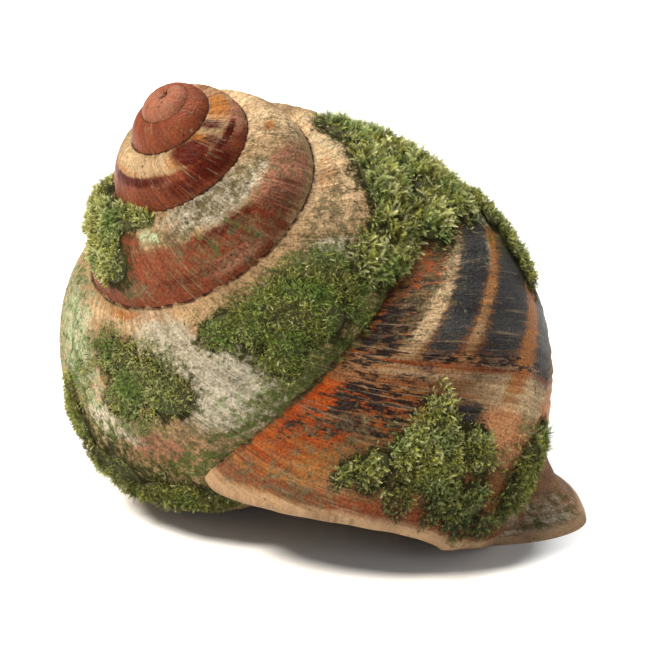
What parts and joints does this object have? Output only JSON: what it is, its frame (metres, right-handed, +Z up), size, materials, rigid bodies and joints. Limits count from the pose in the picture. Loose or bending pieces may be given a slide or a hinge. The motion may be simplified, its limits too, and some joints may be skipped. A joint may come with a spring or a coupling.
{
  "type": "land snail shell",
  "caption": "Weathered land snail shell with cushions of green moss growing on it, resting mouth down on its lip; a natural prop for gardens, terrariums and woodland scenes.",
  "frame": {"origin": "centre of the footprint of the whole object's box, on the surface it rests on", "axes": "+Z up, +X towards the flared end of the lip, -Y towards the front of the lip; the apex points up and to -X and -Y"},
  "size_m": [0.0478, 0.0426, 0.0386],
  "materials": {
    "shell": "worn calcium carbonate shell, satin, banded rust, cream and dark grey",
    "moss": "soft matte living moss, fine branching shoots"
  },
  "bodies": {
    "root": {"shell": "shell", "moss_spire": "moss", "moss_shoulder": "moss", "moss_edge": "moss", "moss_band": "moss", "moss_body": "moss", "moss_belly": "moss", "moss_lip": "moss", "moss_flare": "moss"}
  },
  "joints": []
}
